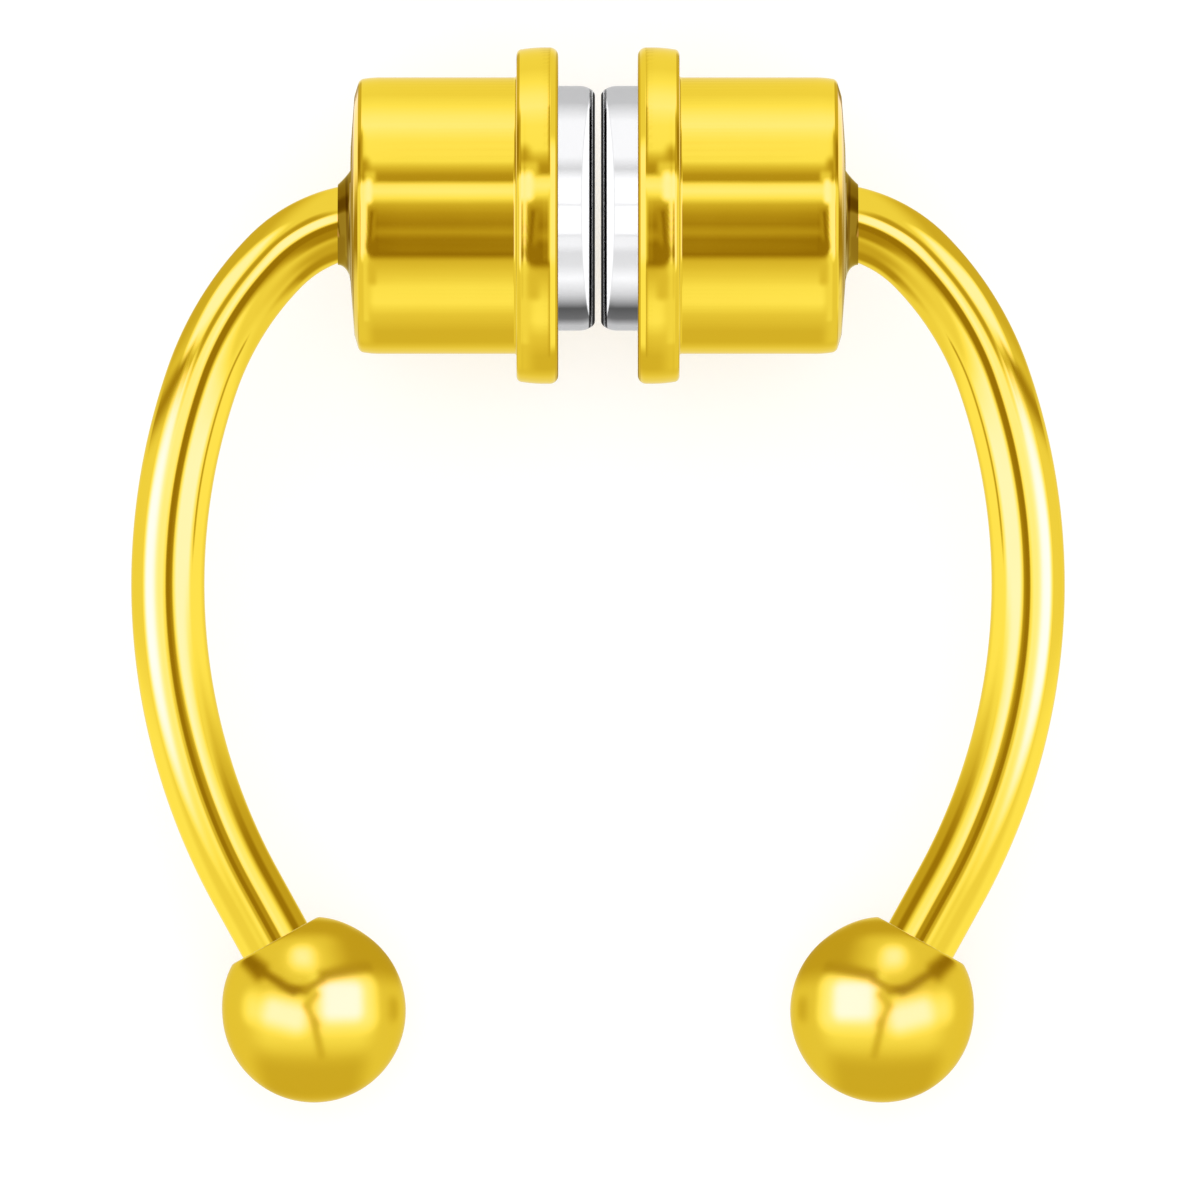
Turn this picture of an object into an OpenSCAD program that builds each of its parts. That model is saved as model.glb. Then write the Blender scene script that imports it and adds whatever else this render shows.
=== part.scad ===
// Magnetic nose ring: a false septum ring in two mirrored halves.
// Each half is a magnet cup, a magnet, a bent bar and a ball that screws onto the bar's end.
// Lengths are millimetres. The ring lies on its side, on the rims of both cups and on both balls.
// Before it is laid down, the ring's plane is XY, the cups' shared axis is X and the balls are at -Y.

/* [Magnet cup] */
// Diameter of the cup's barrel
barrel_d = 4.52; // [4.4:0.02:5]
// Length of the barrel behind the flange
barrel_len = 2.62; // [2.5:0.02:3.2]
// Rounding of the barrel's far edge
barrel_round = 0.13; // [0.05:0.01:0.2]
// How far the coned end face stands past the barrel's edge, at the neck
end_rise = 0.09; // [0.05:0.01:0.15]
// Diameter of the flange around the cup's mouth
flange_d = 5.5; // [5.2:0.1:6.5]
// Thickness of the flange
flange_t = 0.68; // [0.5:0.02:0.9]
// Rounding of the flange's two edges
flange_round = 0.12; // [0.05:0.01:0.2]

/* [Neck] */
// Length of the neck from the end face to its mouth, where the bar comes out
neck_len = 0.21; // [0.15:0.01:0.4]
// Diameter of the neck's flared root on the end face
neck_root_d = 1.74; // [1.5:0.02:2]
// Radius of the neck's hollow flare
neck_flare_r = 0.42; // [0.3:0.02:0.8]
// How far the neck's axis lies below the cup's axis
neck_drop = 0.11; // [0.08:0.01:0.14]
// Wall left around the bar's socket at the neck's mouth
neck_lip = 0.03; // [0.02:0.01:0.06]

/* [Magnet] */
// Diameter of the magnet
magnet_d = 4; // [3.6:0.1:4]
// Thickness of the magnet
magnet_t = 2.5; // [2:0.1:2.5]
// How far the magnet stands out of the flange
magnet_out = 0.6; // [0.4:0.05:1]
// Rounding of the magnet's rims
magnet_round = 0.18; // [0.1:0.02:0.3]
// How far the magnet's axis lies above the cup's axis
magnet_lift = 0.12; // [0:0.02:0.15]
// Air gap between the two magnets
air_gap = 0.1; // [0.1:0.05:3]
// Glue gap around and behind the magnet in its pocket
glue_gap = 0.03; // [0.02:0.01:0.06]

/* [Bar] */
// Diameter of the bar, 16 gauge
bar_d = 1.2; // [1:0.1:1.2]
// Length of the bar's straight stub, in the cup behind its first bend
stub_len = 0.3; // [0.2:0.05:0.4]
// How far the stub's axis lies below the cup's axis
stub_drop = 0.065; // [0.03:0.005:0.1]
// How far inside the barrel's edge the first bend starts
bend_depth = 0.31; // [0.25:0.01:0.4]
// Centreline radius of the bend next to the cup
bend_r = 2.29; // [2.1:0.01:2.5]
// Degrees turned by the bend next to the cup
bend_deg = 45.5; // [44:0.1:47]
// Centreline radius of the shoulder bend
shoulder_r = 5.14; // [4.8:0.01:5.5]
// Degrees turned by the shoulder bend
shoulder_deg = 25.4; // [24:0.1:27]
// Centreline radius of the long side bend
side_r = 10.25; // [9.5:0.05:11]
// Degrees turned by the long side bend
side_deg = 48; // [45:0.5:50]
// Length of the straight end before the ball
tail_len = 0.97; // [0.6:0.01:1.5]
// Clearance between the bar and its socket in the cup
seat_gap = 0.02; // [0.01:0.01:0.04]

/* [Ball] */
// Diameter of the ball
ball_d = 3; // [2.5:0.1:3.5]
// Diameter of the flat that the bar's end butts on
flat_d = 1.46; // [1.4:0.02:1.8]
// Diameter of the threaded post on the bar's end
post_d = 1; // [0.8:0.05:1]
// Length of the threaded post
post_len = 1.5; // [1.2:0.1:1.6]
// Running clearance around the post in the ball
post_gap = 0.04; // [0.02:0.01:0.08]
// Room left in the ball's bore past the post's tip
bore_slack = 0.1; // [0.05:0.05:0.2]
// Chamfer on the post's tip
post_chamfer = 0.12; // [0.05:0.01:0.2]

/* [Hidden] */
$fn = 96;

gold = [0.86, 0.7, 0.16];
nickel = [0.82, 0.82, 0.83];

// Distances from the plane midway between the magnets, out along the cups' axis
magnet_face = air_gap / 2;
magnet_back = magnet_face + magnet_t;
mouth_at = magnet_face + magnet_out;
flange_back = mouth_at + flange_t;
barrel_end = flange_back + barrel_len;
neck_root = barrel_end + end_rise;
neck_mouth = neck_root + neck_len;

// The first bend starts inside the cup, where the stub still runs along the cup's axis
bend_start = [bend_depth - barrel_end, -stub_drop];
bar_bends = [
    [bend_r, bend_deg],
    [shoulder_r, shoulder_deg],
    [side_r, side_deg]
];
socket_r = bar_d / 2 + seat_gap;
socket_slack = 0.05;

// Every second stretch of the bar is a hair thinner and enters its neighbours by a short lap
lap_len = 0.08;
lap_step = 0.003;
thin_r = bar_d / 2 - lap_step;
post_r = post_d / 2;

// Heading of the centreline at the start of bend i, in degrees from +X
function heading(i) = i == 0 ? 180 : heading(i - 1) + bar_bends[i - 1][1];
// Point on a bend's circle where the centreline has the heading h
function on_bend(centre, r, h) = centre + r * [sin(h), -cos(h)];
// Start and centre of bend i: every bend is tangent to the one before it
function bend_centre(i) = bend_begin(i) - bar_bends[i][0] * [sin(heading(i)), -cos(heading(i))];
function bend_begin(i) = i == 0 ? bend_start
    : on_bend(bend_centre(i - 1), bar_bends[i - 1][0], heading(i));

last_bend = len(bar_bends) - 1;
tail_heading = heading(last_bend) + bar_bends[last_bend][1];
tail_dir = [cos(tail_heading), sin(tail_heading)];
tail_begin = on_bend(bend_centre(last_bend), bar_bends[last_bend][0], tail_heading);
bar_end = tail_begin + tail_len * tail_dir;

// The ball's centre, from the flat that its diameter gives
flat_dist = sqrt(pow(ball_d / 2, 2) - pow(flat_d / 2, 2));
ball_centre = bar_end + (seat_gap + flat_dist) * tail_dir;
bore_len = post_len + bore_slack;

// Laid on its side, the ring leans until its balls are as low as its flanges
lean_deg = asin((flange_d - ball_d) / 2 / -ball_centre[1]);
back_y = flange_d / 2;
front_y = ball_centre[1] * cos(lean_deg) - ball_d / 2;

// Lays a piece of the upright ring on the surface, centred on the whole ring
module laid() {
    translate([0, -(back_y + front_y) / 2, flange_d / 2])
        rotate([lean_deg, 0, 0])
            children();
}

// Makes a right-hand piece out of the left-hand one
module mirrored() {
    mirror([1, 0, 0]) children();
}

// Turns a profile around the cups' axis: its X is the radius, its Y the distance from the midplane
module turned(drop = 0) {
    translate([0, -drop, 0])
        rotate([0, -90, 0])
            rotate_extrude()
                children();
}

// Points the Z axis along the bar's tail, from the place given
module along_tail(from) {
    translate([from[0], from[1], 0])
        rotate([0, 0, tail_heading])
            rotate([0, 90, 0])
                children();
}

// Half section of a disc from one distance to another, with a rounded rim at either face
module disc_profile(r, near, far, near_round, far_round) {
    translate([0, near])
        square([r - max(near_round, far_round), far - near]);
    translate([0, near + near_round])
        square([r, far - near - near_round - far_round]);
    if (near_round > 0)
        translate([r - near_round, near + near_round]) circle(near_round);
    if (far_round > 0)
        translate([r - far_round, far - far_round]) circle(far_round);
}

// Half section of the neck: a hollow flare from its root to its sharp mouth
module neck_profile() {
    root = [neck_root_d / 2, neck_root];
    mouth = [socket_r + neck_lip, neck_mouth];
    chord = root - mouth;
    reach = sqrt(pow(neck_flare_r, 2) - pow(norm(chord) / 2, 2));
    hollow = (root + mouth) / 2 + reach * [-chord[1], chord[0]] / norm(chord);
    difference() {
        polygon([[0, barrel_end - barrel_round], [root[0], barrel_end - barrel_round], root, mouth,
            [0, neck_mouth]]);
        translate(hollow) circle(neck_flare_r);
    }
}

// A round rod along one bend of the bar, longer by a lap at either end
module bend(i, r, lap = 0) {
    lap_deg = lap / bar_bends[i][0] * 180 / PI;
    translate(concat(bend_centre(i), [0]))
        rotate([0, 0, heading(i) - 90 - lap_deg])
            rotate_extrude(angle = bar_bends[i][1] + 2 * lap_deg)
                translate([bar_bends[i][0], 0])
                    circle(r);
}

// A round rod along the stub, longer by a lap into the first bend and by the slack into the cup
module stub(r, lap = 0, slack = 0) {
    translate([bend_start[0] - lap, bend_start[1], 0])
        rotate([0, 90, 0])
            cylinder(h = lap + stub_len + slack, r = r);
}

// The bar's straight tail and the post on its end, turned as one
module tail() {
    along_tail(tail_begin - lap_len * tail_dir)
        rotate_extrude()
            polygon([
                [0, 0],
                [thin_r, 0],
                [thin_r, lap_len + tail_len],
                [post_r, lap_len + tail_len],
                [post_r, lap_len + tail_len + post_len - post_chamfer],
                [post_r - post_chamfer, lap_len + tail_len + post_len],
                [0, lap_len + tail_len + post_len]
            ]);
}

// Cup with its flange, coned end and neck, a pocket for the magnet and a socket for the bar
module cup() {
    color(gold)
        difference() {
            union() {
                turned() disc_profile(flange_d / 2, mouth_at, flange_back, flange_round, flange_round);
                turned() disc_profile(barrel_d / 2, mouth_at + flange_round, barrel_end, 0, barrel_round);
                turned() polygon([[0, flange_back], [barrel_d / 2 - barrel_round, flange_back],
                    [barrel_d / 2 - barrel_round, barrel_end], [neck_root_d / 2, neck_root],
                    [0, neck_root]]);
                turned(neck_drop) neck_profile();
            }
            turned(-magnet_lift)
                square([magnet_d / 2 + glue_gap, magnet_back + glue_gap]);
            stub(socket_r, 0, socket_slack);
            bend(0, socket_r);
        }
}

// Disc magnet with rounded rims
module magnet() {
    color(nickel)
        turned(-magnet_lift)
            disc_profile(magnet_d / 2, magnet_face, magnet_back, magnet_round, magnet_round);
}

// Bent bar with its stub, its bends, its straight tail and the post that the ball screws onto
module bar() {
    color(gold)
        union() {
            stub(thin_r, lap_len);
            for (i = [0:2:last_bend]) bend(i, bar_d / 2);
            for (i = [1:2:last_bend]) bend(i, thin_r, lap_len);
            tail();
        }
}

// Ball with its flat and the blind bore for the post
module ball() {
    color(gold)
        along_tail(ball_centre)
            difference() {
                sphere(d = ball_d);
                translate([-ball_d / 2, -ball_d / 2, -ball_d])
                    cube([ball_d, ball_d, ball_d - flat_dist]);
                translate([0, 0, -ball_d])
                    cylinder(h = ball_d - flat_dist + bore_len, r = post_r + post_gap);
            }
}

module left_cup() {
    laid() cup();
}

module left_magnet() {
    laid() magnet();
}

module left_bar() {
    laid() bar();
}

module left_ball() {
    laid() ball();
}

module right_cup() {
    laid() mirrored() cup();
}

module right_magnet() {
    laid() mirrored() magnet();
}

module right_bar() {
    laid() mirrored() bar();
}

module right_ball() {
    laid() mirrored() ball();
}

left_cup();
left_magnet();
left_bar();
left_ball();
right_cup();
right_magnet();
right_bar();
right_ball();
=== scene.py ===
# Looks of the magnetic nose ring: gold-coated steel cups, bars and balls, and nickel-plated magnets.
# Sizes are millimetres of the upright ring, whose plane is XY with the balls at -Y; laid() turns them
# into metres of the ring as it lies on its side.
import math

import bmesh
import bpy
import numpy as np
from mathutils import Matrix, Vector

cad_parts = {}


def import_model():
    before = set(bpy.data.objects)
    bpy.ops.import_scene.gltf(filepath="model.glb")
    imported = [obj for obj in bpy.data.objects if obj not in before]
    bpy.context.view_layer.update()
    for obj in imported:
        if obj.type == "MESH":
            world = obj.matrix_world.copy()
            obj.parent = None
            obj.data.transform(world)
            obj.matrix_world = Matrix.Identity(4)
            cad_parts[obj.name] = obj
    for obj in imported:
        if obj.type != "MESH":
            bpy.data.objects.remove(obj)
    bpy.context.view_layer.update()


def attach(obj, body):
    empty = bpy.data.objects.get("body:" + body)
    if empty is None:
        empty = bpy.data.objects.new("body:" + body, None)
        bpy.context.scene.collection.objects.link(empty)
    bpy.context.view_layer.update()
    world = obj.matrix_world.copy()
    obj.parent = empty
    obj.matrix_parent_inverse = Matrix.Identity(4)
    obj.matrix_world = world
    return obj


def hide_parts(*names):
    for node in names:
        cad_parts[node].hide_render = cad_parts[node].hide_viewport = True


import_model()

MM = 0.001
LEFT = -1
RIGHT = 1
SIDES = {LEFT: "left", RIGHT: "right"}
HALF_BODY = {LEFT: "left_half", RIGHT: "right_half"}
MAGNET_BODY = {LEFT: "left_half", RIGHT: "right_magnet"}
BALL_BODY = {LEFT: "left_ball", RIGHT: "right_ball"}

# Magnet cup
BARREL_R = 2.26
BARREL_LEN = 2.62
END_RISE = 0.09
FLANGE_R = 2.75
FLANGE_T = 0.68
FRONT_ROUND = 0.14
BACK_ROUND = 0.09
ROOT_FILLET = 0.04
NECK_LEN = 0.21
NECK_DROP = 0.11
NECK_LIP = 0.015

# Magnet
MAGNET_R = 2.0
MAGNET_T = 2.5
MAGNET_OUT = 0.6
RIM_LEN = 0.27
RIM_DROP = 0.16
MAGNET_LIFT = 0.12
AIR_GAP = 0.1
GLUE_GAP = 0.03

# Bar
BAR_R = 0.6
STUB_LEN = 0.3
STUB_DROP = 0.065
BEND_DEPTH = 0.31
BENDS = (  # centreline radius, degrees turned
    (2.29, 45.5),
    (5.14, 25.4),
    (10.25, 48.0),
)
TAIL_LEN = 0.97
SEAT_GAP = 0.02
SEAT_SEAM = 0.004
SOCKET_SLACK = 0.05

# Ball and threaded post
BALL_R = 1.5
FLAT_R = 0.73
POST_R = 0.5
POST_LEN = 1.5
POST_GAP = 0.04
POST_CHAMFER = 0.12
BORE_SLACK = 0.1
THREAD_PITCH = 0.25
THREAD_DEPTH = 0.1

# Distances from the plane midway between the magnets, out along the cups' axis
MAGNET_FACE = AIR_GAP / 2
MAGNET_BACK = MAGNET_FACE + MAGNET_T
MOUTH_AT = MAGNET_FACE + MAGNET_OUT
FLANGE_BACK = MOUTH_AT + FLANGE_T
BARREL_END = FLANGE_BACK + BARREL_LEN
NECK_ROOT = BARREL_END + END_RISE
NECK_MOUTH = NECK_ROOT + NECK_LEN
SOCKET_R = BAR_R + SEAT_GAP
FLAT_AT = math.sqrt(BALL_R ** 2 - FLAT_R ** 2)

# Directions of the upright ring: up in its plane, and out of its plane towards the camera
UP = Vector((0.0, 1.0, 0.0))
TOWARDS = Vector((0.0, 0.0, 1.0))

# How finely the shapes are drawn: length of a step in mm, sides and steps
ROUTE_STEP = 0.06
SIDES_ROUND = 192
BAR_SIDES = 96
ROUND_STEPS = 10
FILLET_STEPS = 4
STRAIGHT_STEPS = 6
BEVEL_STEPS = 4
FLARE_STEPS = 10
SOCKET_STEPS = 6
SPHERE_STEPS = 96
BORE_STEPS = 60
STEPS_A_PITCH = 20
SHARP_ANGLE = 28  # degrees; a steeper edge than this is not smoothed


def heading_dir(degrees):
    """Unit vector of a heading in the ring's plane."""
    return Vector((math.cos(math.radians(degrees)), math.sin(math.radians(degrees)), 0.0))


def outward(degrees):
    """From a bend's centre to its centreline, where the centreline has this heading."""
    return Vector((math.sin(math.radians(degrees)), -math.cos(math.radians(degrees)), 0.0))


def bar_route():
    """Points of the left bar's centreline from its stub to its end, and its heading there."""
    here = Vector((BEND_DEPTH - BARREL_END, -STUB_DROP, 0.0))
    heading = 180.0
    points = [here - heading_dir(heading) * STUB_LEN]
    for radius, turn in BENDS:
        centre = here - outward(heading) * radius
        steps = math.ceil(math.radians(turn) * radius / ROUTE_STEP)
        points += [centre + outward(heading + turn * i / steps) * radius for i in range(steps)]
        heading += turn
        here = centre + outward(heading) * radius
    end = here + heading_dir(heading) * TAIL_LEN
    steps = math.ceil(TAIL_LEN / ROUTE_STEP)
    points += [here.lerp(end, i / steps) for i in range(steps + 1)]
    return points, heading


ROUTE, TAIL_HEADING = bar_route()
TAIL_DIR = heading_dir(TAIL_HEADING)
BAR_END = ROUTE[-1]
BALL_CENTRE = BAR_END + TAIL_DIR * (SEAT_GAP + FLAT_AT)

# Laid down, the ring leans until its balls are as low as its flanges
LEAN = math.asin((FLANGE_R - BALL_R) / -BALL_CENTRE.y)
BACK_Y = FLANGE_R
FRONT_Y = BALL_CENTRE.y * math.cos(LEAN) - BALL_R
LAID = Matrix.Translation((0.0, -(BACK_Y + FRONT_Y) / 2, FLANGE_R)) @ Matrix.Rotation(LEAN, 4, "X")


def laid(point, side=LEFT):
    """A point of the upright left half, in mm, as it lies in metres; the right half is its mirror."""
    return (LAID @ Vector((-side * point[0], point[1], point[2]))) * MM


# Meshes

def mixed(a, b, share):
    """The value a share of the way from a to b."""
    return a + (b - a) * share


def arc(centre, radius, start, stop, steps):
    """Points on an arc, angles in degrees from the first axis towards the second."""
    angles = [math.radians(start + (stop - start) * i / steps) for i in range(steps + 1)]
    return [(centre[0] + radius * math.cos(a), centre[1] + radius * math.sin(a)) for a in angles]


def loft(name, rings, side, shades=None):
    """A closed mesh through rings of points, each with a shade; the first and last are a single point."""
    verts = [laid(p, side) for ring in rings for p in ring]
    faces = []
    start = 0
    for near, far in zip(rings, rings[1:]):
        n, after = max(len(near), len(far)), start + len(near)
        for i in range(n):
            j = (i + 1) % n
            if len(near) == 1:
                faces.append((start, after + j, after + i))
            elif len(far) == 1:
                faces.append((start + i, start + j, after))
            else:
                faces.append((start + i, start + j, after + j, after + i))
        start = after
    mesh = bpy.data.meshes.new(name)
    mesh.from_pydata(verts, [], faces)
    if shades:
        values = [shade for ring, shade in zip(rings, shades) for _ in ring]
        mesh.attributes.new("shade", "FLOAT", "POINT").data.foreach_set("value", values)
    return finished(name, mesh)


def finished(name, mesh):
    """An object of a closed mesh, with its faces turned outwards and smooth away from its edges."""
    work = bmesh.new()
    work.from_mesh(mesh)
    bmesh.ops.recalc_face_normals(work, faces=work.faces)
    work.to_mesh(mesh)
    work.free()
    mesh.shade_smooth()
    mesh.set_sharp_from_angle(angle=math.radians(SHARP_ANGLE))
    made = bpy.data.objects.new(name, mesh)
    bpy.context.scene.collection.objects.link(made)
    return made


def circle_ring(centre, up, across, radius):
    """A ring of points; the radius may be a function of the turn from up, in radians."""
    ring = []
    for i in range(SIDES_ROUND):
        turn = math.tau * i / SIDES_ROUND
        r = radius(turn) if callable(radius) else radius
        ring.append(centre + up * (r * math.cos(turn)) + across * (r * math.sin(turn)))
    return ring


def cup_ring(at, radius, drop=0.0):
    """A ring around the cup's axis, at a distance from the midplane."""
    return circle_ring(Vector((-at, -drop, 0.0)), UP, TOWARDS, radius)


# The flange's rim is a little crowned; the barrel rolls off to a small round and a steep bevel
CROWN_AT = 0.88
CROWN_R = 2.2
ROLL_FROM = 3.56
ROLL_TO = 3.83
ROLL_R = 1.6
BARREL_ROUND = 0.11
BEVEL_TILT = 73.0
BEVEL_END_AT = 3.979
BEVEL_END_R = 1.95
FIRST_STEP = 0.01

# The neck's root, at its top and at its bottom, and how hollow its flare is at its top
ROOT_TOP_R = 0.86
ROOT_BOTTOM_R = 1.02
TOP_HOLLOW = 0.15

# The bevels of the pocket, and the lip and thread of the ball's bore, which fades over a few steps
POCKET_BEVEL = 0.05
BORE_LIP = 0.06
BORE_THREAD = 0.02
THREAD_FADE = 4

# Near its flat the ball is a little fuller than a true sphere, from this many degrees off its tip
SHOULDER = 0.035
SHOULDER_FROM = 112

# The bar steps down to its post over this length
POST_START = 0.001

# Depths behind the magnet's face where its rim is painted with a dark line, a painted reflection of the
# dark gap between the magnets
PAINTED_DARK_REFLECTIONS = ((0.0005, 0.018), (0.050, 0.085))

# How strongly the neck is painted with brown shade, where the bar is joined, and the steps of its flare
# that are painted darkest, as a dark line of painted shade
NECK_PAINTED_SHADE = 0.8
NECK_PAINTED_LINE = (3, 4)

# The end face stops just outside the neck's root, so that the painted brown shade starts there and not on
# the barrel
SHADE_EDGE = 0.01
END_FACE_FOOT = (NECK_ROOT - SHADE_EDGE / 10, ROOT_BOTTOM_R + NECK_DROP + SHADE_EDGE)


def flange_profile():
    """The flange from its face to the barrel: distance from the midplane, radius."""
    rim = [MOUTH_AT + FRONT_ROUND + (FLANGE_T - FRONT_ROUND - BACK_ROUND) * i / ROUND_STEPS
           for i in range(1, ROUND_STEPS)]
    drop = (FLANGE_BACK - BACK_ROUND - CROWN_AT) ** 2 / (2 * CROWN_R)
    return (
        arc((MOUTH_AT + FRONT_ROUND, FLANGE_R - FRONT_ROUND), FRONT_ROUND, 180, 90, ROUND_STEPS)
        + [(at, FLANGE_R - (at - CROWN_AT) ** 2 / (2 * CROWN_R)) for at in rim]
        + arc((FLANGE_BACK - BACK_ROUND, FLANGE_R - BACK_ROUND - drop), BACK_ROUND, 90, 0, ROUND_STEPS)
        + arc((FLANGE_BACK + ROOT_FILLET, BARREL_R + ROOT_FILLET), ROOT_FILLET, 180, 270,
              FILLET_STEPS)
    )


def barrel_profile():
    """The barrel from the flange to its bevelled end: distance from the midplane, radius."""
    root = FLANGE_BACK + ROOT_FILLET
    straight = [root + (ROLL_FROM - root) * i / STRAIGHT_STEPS for i in range(1, STRAIGHT_STEPS)]
    roll = [ROLL_FROM + (ROLL_TO - ROLL_FROM) * i / ROUND_STEPS for i in range(ROUND_STEPS)]
    slope = math.asin((ROLL_TO - ROLL_FROM) / ROLL_R)
    top = BARREL_R - (ROLL_TO - ROLL_FROM) ** 2 / (2 * ROLL_R)
    centre = (ROLL_TO - BARREL_ROUND * math.sin(slope), top - BARREL_ROUND * math.cos(slope))
    edge = arc(centre, BARREL_ROUND, 90 - math.degrees(slope), 90 - BEVEL_TILT, ROUND_STEPS)
    shares = [i / BEVEL_STEPS for i in range(1, BEVEL_STEPS + 1)]
    return (
        [(at, BARREL_R) for at in [root + FIRST_STEP] + straight]
        + [(at, BARREL_R - (at - ROLL_FROM) ** 2 / (2 * ROLL_R)) for at in roll]
        + edge
        + [(mixed(edge[-1][0], BEVEL_END_AT, share), mixed(edge[-1][1], BEVEL_END_R, share))
           for share in shares]
    )


def bent_section(at, radius):
    """The bar's section in the plane at a distance from the midplane, where its first bend runs."""
    bend_r = BENDS[0][0]
    along = max(0.0, at - (BARREL_END - BEND_DEPTH))
    lean = math.asin(along / bend_r)
    centre = Vector((-at, -STUB_DROP - bend_r * (1 - math.cos(lean)), 0.0))
    return circle_ring(centre, UP / math.cos(lean), TOWARDS, radius)


def neck_rings():
    """The neck's flare: nearly straight at the top, a hollow fillet at the bottom."""
    root = circle_ring(Vector((-NECK_ROOT, -NECK_DROP, 0.0)), UP, TOWARDS,
                       lambda turn: mixed(ROOT_TOP_R, ROOT_BOTTOM_R, (1 - math.cos(turn)) / 2))
    mouth = bent_section(NECK_MOUTH, SOCKET_R + NECK_LIP)
    rings = []
    for step in range(FLARE_STEPS + 1):
        straight = step / FLARE_STEPS
        angle = straight * math.pi / 2
        ring = []
        for i, (p, q) in enumerate(zip(root, mouth)):
            hollow = mixed(TOP_HOLLOW, 1.0, (1 - math.cos(math.tau * i / SIDES_ROUND)) / 2)
            inwards = mixed(straight, math.sin(angle), hollow)
            out = mixed(straight, 1 - math.cos(angle), hollow)
            ring.append(Vector((mixed(p.x, q.x, out), mixed(p.y, q.y, inwards), mixed(p.z, q.z, inwards))))
        rings.append(ring)
    return rings


def cup(side):
    """Turned cup: pocket for the magnet, flange, barrel, coned end, flared neck and the bar's socket."""
    pocket_r = MAGNET_R + GLUE_GAP
    floor_at = MAGNET_BACK + GLUE_GAP
    pocket = [(floor_at, pocket_r - POCKET_BEVEL), (floor_at - POCKET_BEVEL, pocket_r),
              (MOUTH_AT + POCKET_BEVEL, pocket_r), (MOUTH_AT, pocket_r + POCKET_BEVEL)]
    rings = [[Vector((-floor_at, MAGNET_LIFT, 0.0))]]
    rings += [cup_ring(at, r, -MAGNET_LIFT) for at, r in pocket]
    rings += [cup_ring(at, r) for at, r in flange_profile() + barrel_profile() + [END_FACE_FOOT]]
    # Only the neck and the bar's socket are painted with brown shade, darkest along a line across the
    # flare
    shades = [0.0] * len(rings)
    rings += neck_rings()
    shades += [1.0 if step in NECK_PAINTED_LINE else NECK_PAINTED_SHADE for step in range(FLARE_STEPS + 1)]
    bend_start = BARREL_END - BEND_DEPTH
    rings += [bent_section(mixed(NECK_MOUTH, bend_start, i / SOCKET_STEPS), SOCKET_R)
              for i in range(SOCKET_STEPS + 1)]
    socket_end = bend_start - STUB_LEN - SOCKET_SLACK
    rings += [bent_section(socket_end, SOCKET_R), [Vector((-socket_end, -STUB_DROP, 0.0))]]
    shades += [NECK_PAINTED_SHADE] * (len(rings) - len(shades))
    return loft(f"{SIDES[side]}_cup_shell", rings, side, shades)


def magnet(side):
    """Disc magnet with rounded rims, its axis a little above the cup's."""
    bow = arc((0.0, 0.0), 1.0, 180, 90, 2 * ROUND_STEPS)
    near = [(MAGNET_FACE + RIM_LEN * (1 + x), MAGNET_R - RIM_DROP * (1 - y)) for x, y in bow]
    far = [(MAGNET_BACK - RIM_LEN * (1 + x), r) for (x, y), (at, r) in zip(bow[::-1], near[::-1])]
    rings = [[Vector((-MAGNET_FACE, MAGNET_LIFT, 0.0))]]
    rings += [cup_ring(at, r, -MAGNET_LIFT) for at, r in near + far]
    rings += [[Vector((-MAGNET_BACK, MAGNET_LIFT, 0.0))]]
    # Rings at these depths take the nickel's dark shaded tone: painted dark reflections on the rim
    depths = [0.0] + [at - MAGNET_FACE for at, r in near]
    shades = [float(any(low < depth < high for low, high in PAINTED_DARK_REFLECTIONS)) for depth in depths]
    shades += [0.0] * (len(rings) - len(shades))
    return loft(f"{SIDES[side]}_magnet_disc", rings, side, shades)


def ridge(turns):
    """Height of a thread's ridge after so many turns: one at each whole turn, nothing half way."""
    return abs(2 * (turns % 1) - 1)


def ball(side):
    """Ball with a flat, fuller shoulders beside it, and a threaded blind bore."""
    across = outward(TAIL_HEADING)
    bore_r = POST_R + POST_GAP
    bore_end = POST_LEN + BORE_SLACK - FLAT_AT
    edge = math.degrees(math.acos(FLAT_AT / BALL_R))
    sphere = []
    for i in range(1, SPHERE_STEPS + 1):
        turn = (180 - edge) * i / SPHERE_STEPS
        fuller = max(0.0, (turn - SHOULDER_FROM) / (180 - edge - SHOULDER_FROM))
        r = BALL_R + SHOULDER * fuller * fuller * (3 - 2 * fuller)
        sphere.append((max(r * math.cos(math.radians(turn)), -FLAT_AT), r * math.sin(math.radians(turn))))
    rings = [[BALL_CENTRE + TAIL_DIR * BALL_R]]
    rings += [circle_ring(BALL_CENTRE + TAIL_DIR * t, across, TOWARDS, r) for t, r in sphere]
    lip = [(-FLAT_AT, bore_r + BORE_LIP), (-FLAT_AT + BORE_LIP, bore_r)]
    rings += [circle_ring(BALL_CENTRE + TAIL_DIR * t, across, TOWARDS, r) for t, r in lip]
    for i in range(1, BORE_STEPS):
        t = mixed(-FLAT_AT + BORE_LIP, bore_end, i / BORE_STEPS)
        fade = min(1.0, i / THREAD_FADE, (BORE_STEPS - i) / THREAD_FADE)
        rings.append(circle_ring(
            BALL_CENTRE + TAIL_DIR * t, across, TOWARDS,
            lambda turn: bore_r - fade * BORE_THREAD * ridge(t / THREAD_PITCH - turn / math.tau)))
    rings += [circle_ring(BALL_CENTRE + TAIL_DIR * bore_end, across, TOWARDS, bore_r)]
    rings += [[BALL_CENTRE + TAIL_DIR * bore_end]]
    return loft(f"{SIDES[side]}_ball_tip", rings, side)


# Nodes

def add(tree, kind, inputs=None, **settings):
    """Adds a node with its settings; an input takes a value, or a socket that it is linked to."""
    node = tree.nodes.new(kind)
    for name, value in settings.items():
        setattr(node, name, value)
    for key, value in (inputs or {}).items():
        if isinstance(value, bpy.types.NodeSocket):
            tree.links.new(value, node.inputs[key])
        else:
            node.inputs[key].default_value = value
    return node


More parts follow.
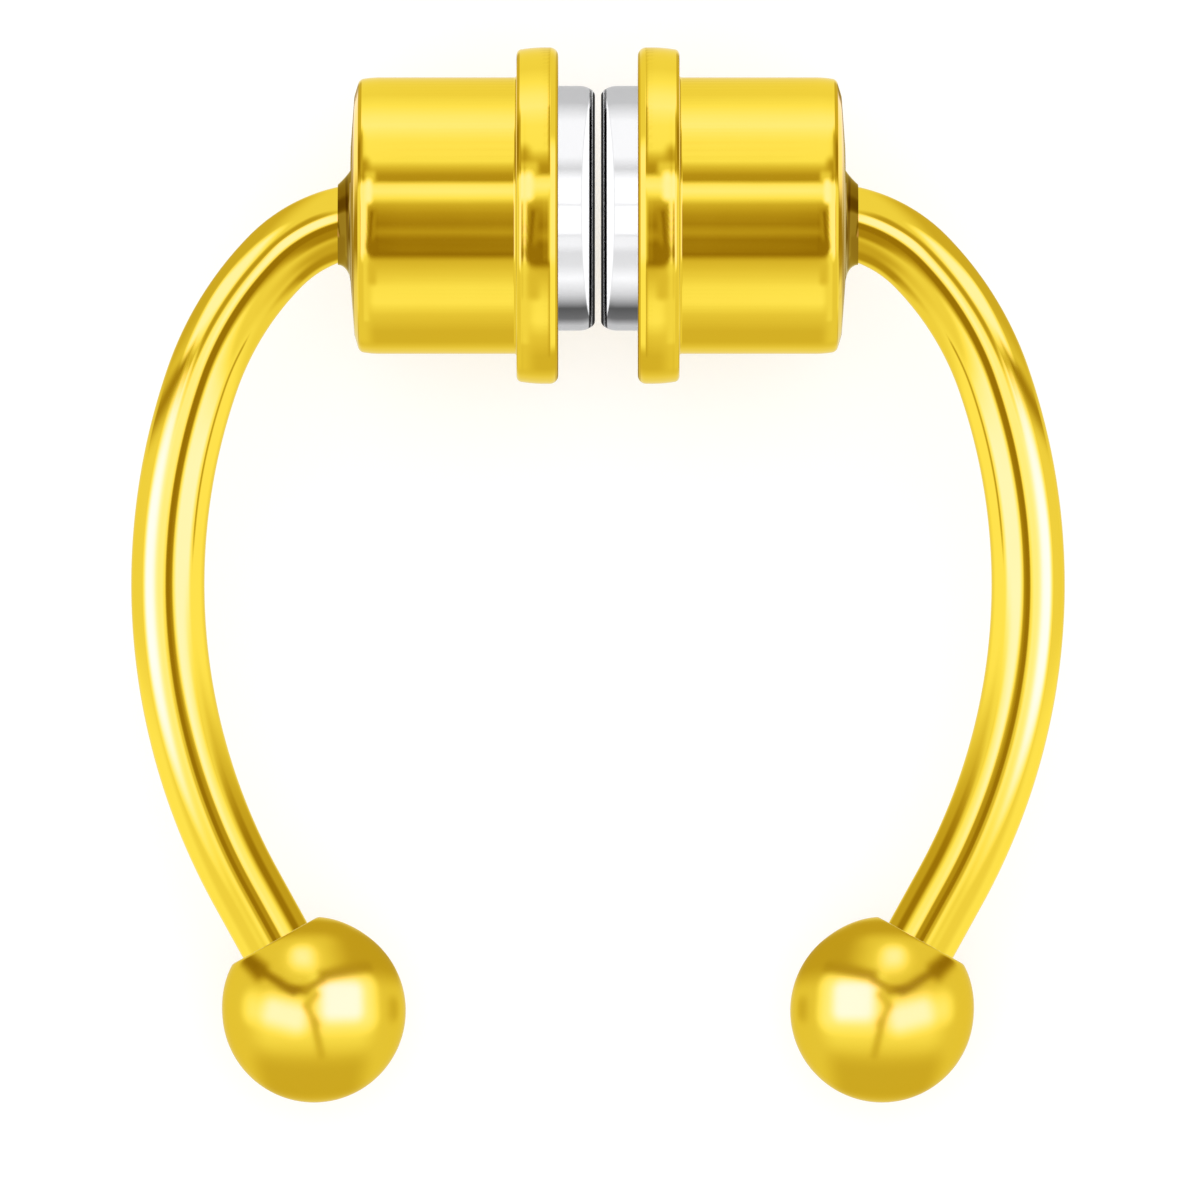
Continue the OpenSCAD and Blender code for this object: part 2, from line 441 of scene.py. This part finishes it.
def bar_tree():
    """Sweeps a route of points into a round bar with a threaded post on its end."""
    tree = bpy.data.node_groups.new("swept_bar", "GeometryNodeTree")
    face = tree.interface
    face.new_socket("Route", in_out="INPUT", socket_type="NodeSocketGeometry")
    for name in ("Bar Radius", "Post Radius", "Post From", "Post To", "Chamfer", "Pitch", "Depth"):
        face.new_socket(name, in_out="INPUT", socket_type="NodeSocketFloat")
    face.new_socket("Sides", in_out="INPUT", socket_type="NodeSocketInt")
    face.new_socket("Material", in_out="INPUT", socket_type="NodeSocketMaterial")
    face.new_socket("Bar", in_out="OUTPUT", socket_type="NodeSocketGeometry")
    given = add(tree, "NodeGroupInput").outputs
    curve = add(tree, "GeometryNodeMeshToCurve", {"Mesh": given["Route"]})
    length = add(tree, "GeometryNodeSplineParameter").outputs["Length"]

    # Radius along the route: the bar, then the post with its chamfered tip
    on_post = add(tree, "ShaderNodeMath", {0: length, 1: given["Post From"]}, operation="GREATER_THAN")
    past = add(tree, "ShaderNodeMath", {0: given["Post To"], 1: given["Chamfer"]}, operation="SUBTRACT")
    over = add(tree, "ShaderNodeMath", {0: length, 1: past.outputs[0]}, operation="SUBTRACT")
    taper = add(tree, "ShaderNodeMath", {0: over.outputs[0], 1: 0.0}, operation="MAXIMUM")
    tip_r = add(tree, "ShaderNodeMath", {0: given["Post Radius"], 1: taper.outputs[0]},
                operation="SUBTRACT")
    radius = add(tree, "ShaderNodeMix", {"Factor": on_post.outputs[0], "A": given["Bar Radius"],
                                         "B": tip_r.outputs[0]}, data_type="FLOAT")

    centre = add(tree, "GeometryNodeStoreNamedAttribute",
                 {"Geometry": curve.outputs[0], "Name": "centre",
                  "Value": add(tree, "GeometryNodeInputPosition").outputs[0]},
                 data_type="FLOAT_VECTOR", domain="POINT")
    along = add(tree, "GeometryNodeStoreNamedAttribute",
                {"Geometry": centre.outputs[0], "Name": "along", "Value": length},
                data_type="FLOAT", domain="POINT")
    profile = add(tree, "GeometryNodeCurvePrimitiveCircle", {"Resolution": given["Sides"], "Radius": 1.0})
    around = add(tree, "GeometryNodeStoreNamedAttribute",
                 {"Geometry": profile.outputs[0], "Name": "around",
                  "Value": add(tree, "GeometryNodeSplineParameter").outputs["Factor"]},
                 data_type="FLOAT", domain="POINT")
    swept = add(tree, "GeometryNodeCurveToMesh",
                {"Curve": along.outputs[0], "Profile Curve": around.outputs[0],
                 "Scale": radius.outputs[0], "Fill Caps": True})

    # The thread is a groove that goes once around the post in each pitch. The wave runs from nothing to a
    # half, so doubling it cuts to the full depth, and it starts over the length of the chamfer.
    read = {name: add(tree, "GeometryNodeInputNamedAttribute", {"Name": name}, data_type=kind)
            for name, kind in (("centre", "FLOAT_VECTOR"), ("along", "FLOAT"), ("around", "FLOAT"))}
    turns = add(tree, "ShaderNodeMath", {0: read["along"].outputs[0], 1: given["Pitch"]},
                operation="DIVIDE")
    phase = add(tree, "ShaderNodeMath", {0: turns.outputs[0], 1: read["around"].outputs[0]},
                operation="ADD")
    wave = add(tree, "ShaderNodeMath", {0: phase.outputs[0], 1: 0.5}, operation="PINGPONG")
    groove = add(tree, "ShaderNodeMath", {0: wave.outputs[0], 1: given["Depth"]}, operation="MULTIPLY")
    first = add(tree, "ShaderNodeMath", {0: given["Post From"], 1: given["Chamfer"]}, operation="ADD")
    start = add(tree, "ShaderNodeMapRange",
                {"Value": read["along"].outputs[0], "From Min": given["Post From"],
                 "From Max": first.outputs[0], "To Max": -2.0})
    depth = add(tree, "ShaderNodeMath", {0: groove.outputs[0], 1: start.outputs[0]}, operation="MULTIPLY")
    out = add(tree, "ShaderNodeVectorMath",
              {0: add(tree, "GeometryNodeInputPosition").outputs[0], 1: read["centre"].outputs[0]},
              operation="SUBTRACT")
    unit = add(tree, "ShaderNodeVectorMath", {0: out.outputs[0]}, operation="NORMALIZE")
    offset = add(tree, "ShaderNodeVectorMath", {0: unit.outputs[0], "Scale": depth.outputs[0]},
                 operation="SCALE")
    on_side = add(tree, "FunctionNodeCompare",
                  {0: read["along"].outputs[0], 1: given["Post From"]}, operation="GREATER_THAN")
    cut = add(tree, "GeometryNodeSetPosition",
              {"Geometry": swept.outputs[0], "Selection": on_side.outputs[0], "Offset": offset.outputs[0]})
    real = add(tree, "GeometryNodeRealizeInstances", {"Geometry": cut.outputs[0]})
    painted = add(tree, "GeometryNodeSetMaterial",
                  {"Geometry": real.outputs[0], "Material": given["Material"]})
    add(tree, "NodeGroupOutput", {"Bar": painted.outputs[0]})
    return tree


def bar(side, tree, material):
    """Bent bar with its stub, bends, straight tail and threaded post, swept along its route."""
    step = THREAD_PITCH / STEPS_A_PITCH
    seat = SEAT_GAP - SEAT_SEAM
    shoulder = seat + POST_START
    post_steps = math.ceil((POST_LEN - shoulder) / step)
    post = [BAR_END + TAIL_DIR * mixed(shoulder, POST_LEN, i / post_steps) for i in range(post_steps + 1)]
    points = [laid(p, side) for p in ROUTE + [BAR_END + TAIL_DIR * seat] + post]
    length = sum((q - p).length for p, q in zip(points, points[1:]))
    route = bpy.data.meshes.new("route")
    route.from_pydata(points, [(i, i + 1) for i in range(len(points) - 1)], [])
    source = bpy.data.objects.new("route", route)
    bpy.context.scene.collection.objects.link(source)
    sizes = {
        "Bar Radius": BAR_R * MM,
        "Post Radius": POST_R * MM,
        "Post From": length - (POST_LEN - seat - POST_START / 2) * MM,
        "Post To": length,
        "Chamfer": POST_CHAMFER * MM,
        "Pitch": THREAD_PITCH * MM,
        "Depth": THREAD_DEPTH * MM,
        "Sides": BAR_SIDES,
        "Material": material,
    }
    sweep = source.modifiers.new("sweep", "NODES")
    sweep.node_group = tree
    for item in tree.interface.items_tree:
        if item.name in sizes and item.in_out == "INPUT":
            sweep[item.identifier] = sizes[item.name]
    graph = bpy.context.evaluated_depsgraph_get()
    mesh = bpy.data.meshes.new_from_object(source.evaluated_get(graph))
    source.modifiers.remove(sweep)
    bpy.data.objects.remove(source)
    bpy.data.meshes.remove(route)
    mesh.name = f"{SIDES[side]}_bent_bar"
    return finished(f"{SIDES[side]}_bent_bar", mesh)


# Materials

# The noise that a metal's tone and gloss drift with: its size in mm, its range, and the shares of the
# roughness at its two ends
DRIFT_MM = 2.5
DRIFT_LOW = 0.3
DRIFT_HIGH = 0.7
SMOOTHEST = 0.8
ROUGHEST = 1.2


def linear(hex_colour):
    """Linear colour of an sRGB hex value."""
    parts = [int(hex_colour[i:i + 2], 16) / 255 for i in (1, 3, 5)]
    return [p / 12.92 if p <= 0.04045 else ((p + 0.055) / 1.055) ** 2.4 for p in parts] + [1.0]


def polished_metal(name, light, dark, shaded, edge, rough, wave_mm, wave_depth, grit_mm, grit_depth):
    """Polished metal: a slow drift of tone and gloss, faint waves and a fine grit in its surface.

    It takes the shaded tone where the mesh's shade attribute is one, and the edge tone at a grazing angle.
    The shaded tone is painted shade on the gold's neck and painted dark reflections on the nickel's rims.
    """
    material = bpy.data.materials.new(name)
    material.use_nodes = True
    tree = material.node_tree
    tree.nodes.clear()
    place = add(tree, "ShaderNodeTexCoord").outputs["Object"]
    drift = add(tree, "ShaderNodeTexNoise",
                {"Vector": place, "Scale": 1 / (DRIFT_MM * MM), "Detail": 3.0, "Roughness": 0.6})
    colour = add(tree, "ShaderNodeMix", {"Factor": drift.outputs["Fac"], "A": linear(light),
                                         "B": linear(dark)}, data_type="RGBA")
    shade = add(tree, "ShaderNodeAttribute", attribute_name="shade").outputs["Fac"]
    toned = add(tree, "ShaderNodeMix", {"Factor": shade, "A": colour.outputs[2], "B": linear(shaded)},
                data_type="RGBA")
    gloss = add(tree, "ShaderNodeMapRange",
                {"Value": drift.outputs["Fac"], "From Min": DRIFT_LOW, "From Max": DRIFT_HIGH,
                 "To Min": rough * SMOOTHEST, "To Max": rough * ROUGHEST})
    wave = add(tree, "ShaderNodeTexNoise",
               {"Vector": place, "Scale": 1 / (wave_mm * MM), "Detail": 1.0, "Roughness": 0.4})
    grit = add(tree, "ShaderNodeTexNoise",
               {"Vector": place, "Scale": 1 / (grit_mm * MM), "Detail": 2.0, "Roughness": 0.6})
    soft = add(tree, "ShaderNodeBump", {"Height": wave.outputs["Fac"], "Distance": wave_depth * MM})
    fine = add(tree, "ShaderNodeBump", {"Height": grit.outputs["Fac"], "Distance": grit_depth * MM,
                                        "Normal": soft.outputs[0]})
    shader = add(tree, "ShaderNodeBsdfPrincipled",
                 {"Base Color": toned.outputs[2], "Metallic": 1.0, "Roughness": gloss.outputs[0],
                  "Specular Tint": linear(edge), "Normal": fine.outputs[0]})
    add(tree, "ShaderNodeOutputMaterial", {"Surface": shader.outputs[0]})
    return material


# Tumbled and buffed 316L steel under a hard gold-coloured vapour coating: a deep yellow mirror
# Its shaded tone, #7a5208, is painted brown shade on the cup's neck and socket
gold_mirror = polished_metal("gold_coated_steel_buffed", "#ffe44e", "#ffdf48", "#7a5208", "#fff7c5", 0.05,
                             wave_mm=0.9, wave_depth=0.0012, grit_mm=0.05, grit_depth=0.00006)
# The same coating on a tumbled ball: a softer mirror, because tumbling leaves more texture than buffing
gold_satin = polished_metal("gold_coated_steel_tumbled", "#ffe44e", "#ffdf48", "#7a5208", "#fff7c5", 0.15,
                            wave_mm=1.2, wave_depth=0.0012, grit_mm=0.05, grit_depth=0.0001)
# Bright nickel plating on a pressed magnet: a clean, neutral, slightly soft mirror
# Its shaded tone, #18181c, paints dark reflections as thin lines on the magnets' rims
nickel = polished_metal("nickel_plating_bright", "#e9e9ea", "#e4e4e6", "#18181c", "#f4f4f4", 0.06,
                        wave_mm=0.8, wave_depth=0.001, grit_mm=0.06, grit_depth=0.0001)


# Pieces

def dressed(piece, material, body, node):
    """Gives a piece its material and its body, and hides the imported part that it stands for."""
    if not piece.data.materials:
        piece.data.materials.append(material)
    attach(piece, body)
    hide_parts(node)
    return piece


groups = {}
tree = bar_tree()
for side, word in SIDES.items():
    groups[side] = {
        "cup": dressed(cup(side), gold_mirror, HALF_BODY[side], f"{word}_cup"),
        "magnet": dressed(magnet(side), nickel, MAGNET_BODY[side], f"{word}_magnet"),
        "bar": dressed(bar(side, tree, gold_mirror), gold_mirror, HALF_BODY[side], f"{word}_bar"),
        "ball": dressed(ball(side), gold_satin, BALL_BODY[side], f"{word}_ball"),
    }
    # What the pieces mirror of each other is in their light tents, where it can be as soft as in the photo
    for piece in groups[side].values():
        piece.visible_glossy = False


# Studio

# The camera looks straight at the leaning ring, and directions around the ring are given as it sees them
RIGHTWARDS = Vector((1.0, 0.0, 0.0))
UPWARDS = Vector((0.0, math.cos(LEAN), math.sin(LEAN)))
TO_CAMERA = Vector((0.0, -math.sin(LEAN), math.cos(LEAN)))

FRAME_WIDTH_MM = 19.608
FRAME_CENTRE = Vector((0.0327, -6.273, 0.0))
CAMERA_DISTANCE = 0.5
SENSOR_WIDTH = 36.0
NEAREST = 0.05
FARTHEST = 5.0

# The table's half width and its depth under the ring in metres, the world's light on it and its own glow
TABLE_HALF = 1.5
TABLE_DEPTH = 0.00002
TABLE_LIGHT = 1.2
TABLE_GLOW = 0.6


def set_camera():
    """A long lens square to the ring's plane; it sees the frame's width at the ring."""
    data = bpy.data.cameras.new("camera")
    data.sensor_width = SENSOR_WIDTH
    data.lens = data.sensor_width * CAMERA_DISTANCE / (FRAME_WIDTH_MM * MM)
    data.clip_start = NEAREST
    data.clip_end = FARTHEST
    camera = bpy.data.objects.new("camera", data)
    bpy.context.scene.collection.objects.link(camera)
    turn = Matrix((RIGHTWARDS, UPWARDS, TO_CAMERA)).transposed().to_4x4()
    aim = laid(FRAME_CENTRE)
    camera.matrix_world = Matrix.Translation(aim + TO_CAMERA * CAMERA_DISTANCE) @ turn
    bpy.context.scene.camera = camera


def floor():
    """A plain pale table top: white to the camera, with a faint soft shadow under the ring."""
    corners = ((-1, -1), (1, -1), (1, 1), (-1, 1))
    mesh = bpy.data.meshes.new("table_top")
    mesh.from_pydata([(x * TABLE_HALF, y * TABLE_HALF, -TABLE_DEPTH) for x, y in corners], [],
                     [(0, 1, 2, 3)])
    made = bpy.data.objects.new("table_top", mesh)
    bpy.context.scene.collection.objects.link(made)
    material = bpy.data.materials.new("matt_white_laminate")
    material.use_nodes = True
    tree = material.node_tree
    tree.nodes.clear()
    matt = add(tree, "ShaderNodeBsdfDiffuse", {"Color": linear("#b4b4b4")})
    glow = add(tree, "ShaderNodeEmission", {"Color": linear("#ffffff"), "Strength": TABLE_GLOW})
    both = add(tree, "ShaderNodeAddShader", {0: matt.outputs[0], 1: glow.outputs[0]})
    add(tree, "ShaderNodeOutputMaterial", {"Surface": both.outputs[0]})
    mesh.materials.append(material)
    made.visible_glossy = False


def world():
    """An even white light for the table; the metal mirrors the light tents instead."""
    made = bpy.data.worlds.new("studio")
    made.use_nodes = True
    tree = made.node_tree
    tree.nodes.clear()
    plain = add(tree, "ShaderNodeBackground", {"Color": (1.0, 1.0, 1.0, 1.0), "Strength": TABLE_LIGHT})
    dark = add(tree, "ShaderNodeBackground", {"Color": (0.0, 0.0, 0.0, 1.0)})
    glossy = add(tree, "ShaderNodeLightPath").outputs["Is Glossy Ray"]
    chosen = add(tree, "ShaderNodeMixShader", {0: glossy, 1: plain.outputs[0], 2: dark.outputs[0]})
    add(tree, "ShaderNodeOutputWorld", {"Surface": chosen.outputs[0]})
    bpy.context.scene.world = made


# Light tents: one for each kind of piece and side, mirrored by that piece only. A level of one is the
# light that makes the gold its full colour. Rise is in degrees from the camera's axis towards the top of
# the picture.
CUP_STRIP = (  # rise, level straight above and below the camera
    (-180, 0.85),
    (-150, 0.85),
    (-132, 0.66),
    (-114, 0.66),
    (-92, 0.80),
    (-78, 1.02),
    (-62, 0.98),
    (-38, 0.66),
    (-33, 0.29),
    (-20, 0.28),
    (-14, 0.46),
    (-7, 0.33),
    (1, 0.42),
    (9, 0.60),
    (16, 1.15),
    (20, 1.35),
    (25, 1.20),
    (29, 0.45),
    (34, 0.47),
    (40, 0.70),
    (46, 1.00),
    (64, 1.04),
    (80, 1.36),
    (90, 1.26),
    (104, 1.00),
    (120, 0.88),
    (180, 0.92),
)
MAGNET_STRIP = (  # rise, level
    (-180, 0.70),
    (-147, 0.70),
    (-130, 0.20),
    (-110, 0.12),
    (-90, 0.82),
    (-70, 1.25),
    (-55, 0.95),
    (-43, 0.92),
    (-35, 1.16),
    (-28, 1.14),
    (-26, 0.98),
    (-23, 1.35),
    (1, 1.35),
    (3, 1.02),
    (5, 1.35),
    (26, 1.35),
    (37, 0.85),
    (49, 1.20),
    (90, 1.20),
    (118, 0.70),
    (180, 0.70),
)

# Soft-edged windows and cards of a tent, on a chart whose centre is the camera's axis, in degrees
# towards the other half and towards the top of the picture. The core is the half size of a box, roll
# turns it anticlockwise for the left half, reach rounds it outwards and soft is the width of its edge.
MAGNET_WINDOWS = (  # inward, up, core inward, core up, roll, reach, soft, level
    (228, 0, 0, 0, 0, 216, 1.5, 0.98),
    (228, 0, 0, 0, 0, 213, 1.5, 1.35),
    (62, -30, 7, 140, 0, 0, 3, 0.03),
    (78, 0, 7, 180, 0, 0, 3, 0.95),
    (130, 0, 42, 180, 0, 0, 4, 0.03),
)
CUP_WINDOWS = (  # inward, up, core inward, core up, roll, reach, soft, level
    (-100, 98, 40, 48, 0, 5, 12, 0.60),
    (-92, 52, 26, 8, 0, 0, 22, 0.34),
    (-38, 54, 7, 14, 0, 0, 18, 0.54),
    (-19, 41, 1, 2, 0, 0, 11, 0.48),
    (-104, -25, 34, 46, 0, 0, 16, 0.92),
    (-60, -85, 40, 45, 0, 0, 15, 0.80),
    (-17, -64, 1, 34, 0, 0, 5, 0.90),
    (-36, -4, 14, 28, -4, 0, 9, 1.42),
    (-20, -6, 3, 24, 0, 0, 4, 1.42),
    (-10, -12, 2, 15, -6, 0, 5, 0.44),
    (-11, -14, 0, 16, -6, 0, 3, 0.27),
    (-8, -26, 3, 2, 0, 0, 8, 0.31),
    (-9, -50, 1, 6, 0, 0, 8, 0.72),
    (-11, 32, 3, 2, 0, 0, 6, 0.82),
    (-13, 20, 0, 6, 0, 1, 6, 1.60),
    (6, 110, 1, 60, 0, 0, 5, 0.66),
    (6, 58, 1, 20, 0, 0, 5, 0.42),
    (10, -8, 3, 20, 0, 0, 9, 0.90),
    (6, -76, 1, 36, 0, 0, 5, 0.56),
    (52, 100, 32, 40, 0, 0, 14, 0.84),
    (52, 5, 32, 38, 0, 0, 14, 1.32),
    (52, -68, 32, 30, 0, 0, 14, 1.00),
    (108, 0, 16, 180, 0, 0, 10, 0.62),
    (155, 0, 20, 180, 0, 0, 8, 0.30),
    (-146, 100, 12, 60, 0, 0, 6, 1.15),
    (-172, -100, 24, 60, 0, 0, 8, 0.86),
    (-160, -2, 20, 28, 0, 0, 6, 0.36),
    (-172, 80, 13, 75, 0, 0, 4, 0.36),
    (-148, 168, 34, 18, 0, 0, 4, 0.34),
)
BAR_WINDOWS = (  # inward, up, core inward, core up, roll, reach, soft, level
    (-98, 90, 28, 32, 0, 0, 38, 0.62),
    (20, -84, 15, 25, 0, 0, 32, 0.58),
    (48, -96, 28, 8, 30, 0, 24, 0.44),
    (-118, -50, 24, 22, 0, 0, 24, 1.00),
    (100, -10, 20, 20, 0, 0, 30, 1.02),
    (-34, 5, 18, 7, 0, 0, 18, 1.42),
    (-56, 0, 4, 4, 0, 0, 26, 2.05),
    (-62, 0, 4, 5, 0, 0, 22, 2.25),
    (-60, 42, 12, 8, 0, 0, 16, 1.65),
    (-94, 29, 30, 0, -8, 0, 8, 0.34),
    (-56, 22, 8, 0, -20, 0, 6, 0.62),
    (-28, 29, 14, 3, 45, 0, 10, 0.50),
    (-12, 19, 4, 7, 20, 0, 8, 1.70),
    (100, 54, 22, 6, 27, 0, 34, 0.54),
    (72, 40, 6, 3, 27, 0, 18, 0.33),
    (38, 14, 6, 8, 20, 0, 14, 1.25),
    (46, -4, 18, 5, -14, 0, 16, 1.80),
    (79, -23, 1, 16, -16, 0, 5, 0.50),
    (8, -20, 2, 9, 15, 0, 16, 0.40),
    (-9, -8, 2, 2, 0, 0, 10, 0.62),
    (3, -2, 0, 0, 0, 7, 6, 0.32),
    (12, 7, 4, 2, 27, 0, 7, 0.46),
)
BALL_WINDOWS = (  # inward, up, core inward, core up, roll, reach, soft, level
    (-6, -104, 56, 20, 0, 0, 46, 0.61),
    (98, 94, 42, 26, 0, 0, 42, 0.53),
    (-10, 128, 60, 10, 0, 0, 26, 0.54),
    (0, -18, 55, 5, 0, 0, 45, 0.98),
    (-13, 66, 5, 4, 0, 0, 34, 0.95),
    (-13, 68, 3, 3, 0, 0, 22, 1.62),
    (42, 12, 26, 20, 0, 4, 26, 1.32),
    (37, 13, 15, 13, 0, 3, 20, 2.10),
    (-56, -3, 26, 2, -9, 0, 30, 1.25),
    (-37, -5, 17, 5, -14, 0, 25, 1.85),
    (-88, 60, 20, 4, -38, 0, 18, 0.27),
    (-50, 37, 28, 1, -27, 0, 9, 0.30),
    (-20, 27, 10, 1, -6, 0, 8, 0.32),
    (0, 33, 12, 1, 32, 0, 8, 0.48),
    (45, 54, 34, 2, 15, 0, 13, 0.46),
    (-3, 14, 1, 9, -41, 0, 8, 0.70),
    (-3, -6, 1, 13, 26, 0, 8, 0.66),
    (5, -36, 1, 24, 12, 0, 7, 0.62),
    (121, 0, 1, 7, 0, 0, 22, 0.62),
)

# Levels of the bars' and balls' tents outside their windows
BAR_LEVEL = 0.87
BALL_LEVEL = 0.78

# Dim light is browner and strong light is whiter than gold alone makes them, as in the photo
GREEN_POWER = 1.35
GREEN_POWER_STRONG = 0.35
BLUE_POWER = 3.1

# The smallest tent's radius and how much larger each next one is, in metres, and how often their
# triangles are divided: more for the magnets, whose windows are the sharpest
TENT_RADIUS = 0.6
TENT_STEP = 0.02
TENT_FINENESS = 6
MAGNET_TENT_FINENESS = 7
TINY = 1e-6


def round_chart(seen):
    """Directions on the chart for round things: the angle from the camera's axis, laid out flat."""
    off_axis = np.degrees(np.arccos(np.clip(seen[:, 2], -1.0, 1.0)))
    across = np.hypot(seen[:, 0], seen[:, 1])
    return seen[:, :2] * (off_axis / np.maximum(across, TINY))[:, None]


def barrel_chart(seen):
    """Directions on the chart for turned things: twice the slant and turn of what mirrors them."""
    slanted = seen + (0.0, 0.0, 1.0 + TINY)
    facing = slanted / np.linalg.norm(slanted, axis=1)[:, None]
    return 2 * np.degrees(np.stack((np.arcsin(facing[:, 0]), np.arctan2(facing[:, 1], facing[:, 2])), 1))


def with_window(place, level, window):
    """The levels at places on a chart, with one soft-edged window or card over them."""
    inward, up, core_in, core_up, roll, reach, soft, window_level = window
    x, y = (place - (inward, up)).T
    cos, sin = math.cos(math.radians(roll)), math.sin(math.radians(roll))
    beside = np.maximum(np.abs(x * cos + y * sin) - core_in, 0.0)
    above = np.maximum(np.abs(y * cos - x * sin) - core_up, 0.0)
    edge = np.clip((np.hypot(beside, above) - reach) / soft, 0.0, 1.0)
    return level + (window_level - level) * (1 - edge * edge * (3 - 2 * edge))


def gold_light(level):
    """Red, green and blue of the light at each level, as the gold shows it."""
    green = np.minimum(level, 1.0) ** GREEN_POWER * np.maximum(level, 1.0) ** GREEN_POWER_STRONG
    return np.stack((level, green, level ** BLUE_POWER), 1)


def tent(name, order, side, piece, chart, base, windows, golden=True, fineness=TENT_FINENESS):
    """A light tent that only this piece mirrors; its base is a level, or rows of rise and level."""
    work = bmesh.new()
    bmesh.ops.create_icosphere(work, subdivisions=fineness, radius=TENT_RADIUS + TENT_STEP * order)
    mesh = bpy.data.meshes.new(name)
    work.to_mesh(mesh)
    work.free()
    points = np.empty(len(mesh.vertices) * 3)
    mesh.vertices.foreach_get("co", points)
    seen = points.reshape(-1, 3) @ np.array((RIGHTWARDS, UPWARDS, TO_CAMERA)).T
    seen /= np.linalg.norm(seen, axis=1)[:, None]
    seen[:, 0] *= -side
    place = chart(seen)
    if isinstance(base, tuple):
        level = np.interp(place[:, 1], *np.array(base).T)
    else:
        level = np.full(len(place), base)
    for window in windows:
        level = with_window(place, level, window)
    light = gold_light(level) if golden else np.stack((level, level, level), 1)
    colours = np.concatenate((light, np.ones((len(light), 1))), 1)
    mesh.attributes.new("light", "FLOAT_COLOR", "POINT").data.foreach_set("color", colours.ravel())

    material = bpy.data.materials.new(f"{name}_light")
    material.use_nodes = True
    material.cycles.emission_sampling = "NONE"
    tree = material.node_tree
    tree.nodes.clear()
    colour = add(tree, "ShaderNodeAttribute", attribute_name="light").outputs["Color"]
    lamp = add(tree, "ShaderNodeEmission", {"Color": colour})
    clear = add(tree, "ShaderNodeBsdfTransparent")
    both = add(tree, "ShaderNodeAddShader", {0: lamp.outputs[0], 1: clear.outputs[0]})
    add(tree, "ShaderNodeOutputMaterial", {"Surface": both.outputs[0]})
    mesh.materials.append(material)
    made = bpy.data.objects.new(name, mesh)
    bpy.context.scene.collection.objects.link(made)
    for ray in ("camera", "diffuse", "transmission", "volume_scatter", "shadow"):
        setattr(made, f"visible_{ray}", False)
    mirrored = bpy.data.collections.new(f"mirrors_{name}")
    mirrored.objects.link(piece)
    made.light_linking.receiver_collection = mirrored


floor()
world()
for order, (side, word) in enumerate(SIDES.items()):
    group = groups[side]
    tent(f"{word}_cup_tent", order, side, group["cup"], barrel_chart, CUP_STRIP, CUP_WINDOWS)
    tent(f"{word}_bar_tent", 2 + order, side, group["bar"], round_chart, BAR_LEVEL, BAR_WINDOWS)
    tent(f"{word}_ball_tent", 4 + order, side, group["ball"], round_chart, BALL_LEVEL, BALL_WINDOWS)
    tent(f"{word}_magnet_tent", 6 + order, side, group["magnet"], barrel_chart, MAGNET_STRIP,
         MAGNET_WINDOWS, golden=False, fineness=MAGNET_TENT_FINENESS)
set_camera()
bpy.context.scene.view_settings.view_transform = "Standard"
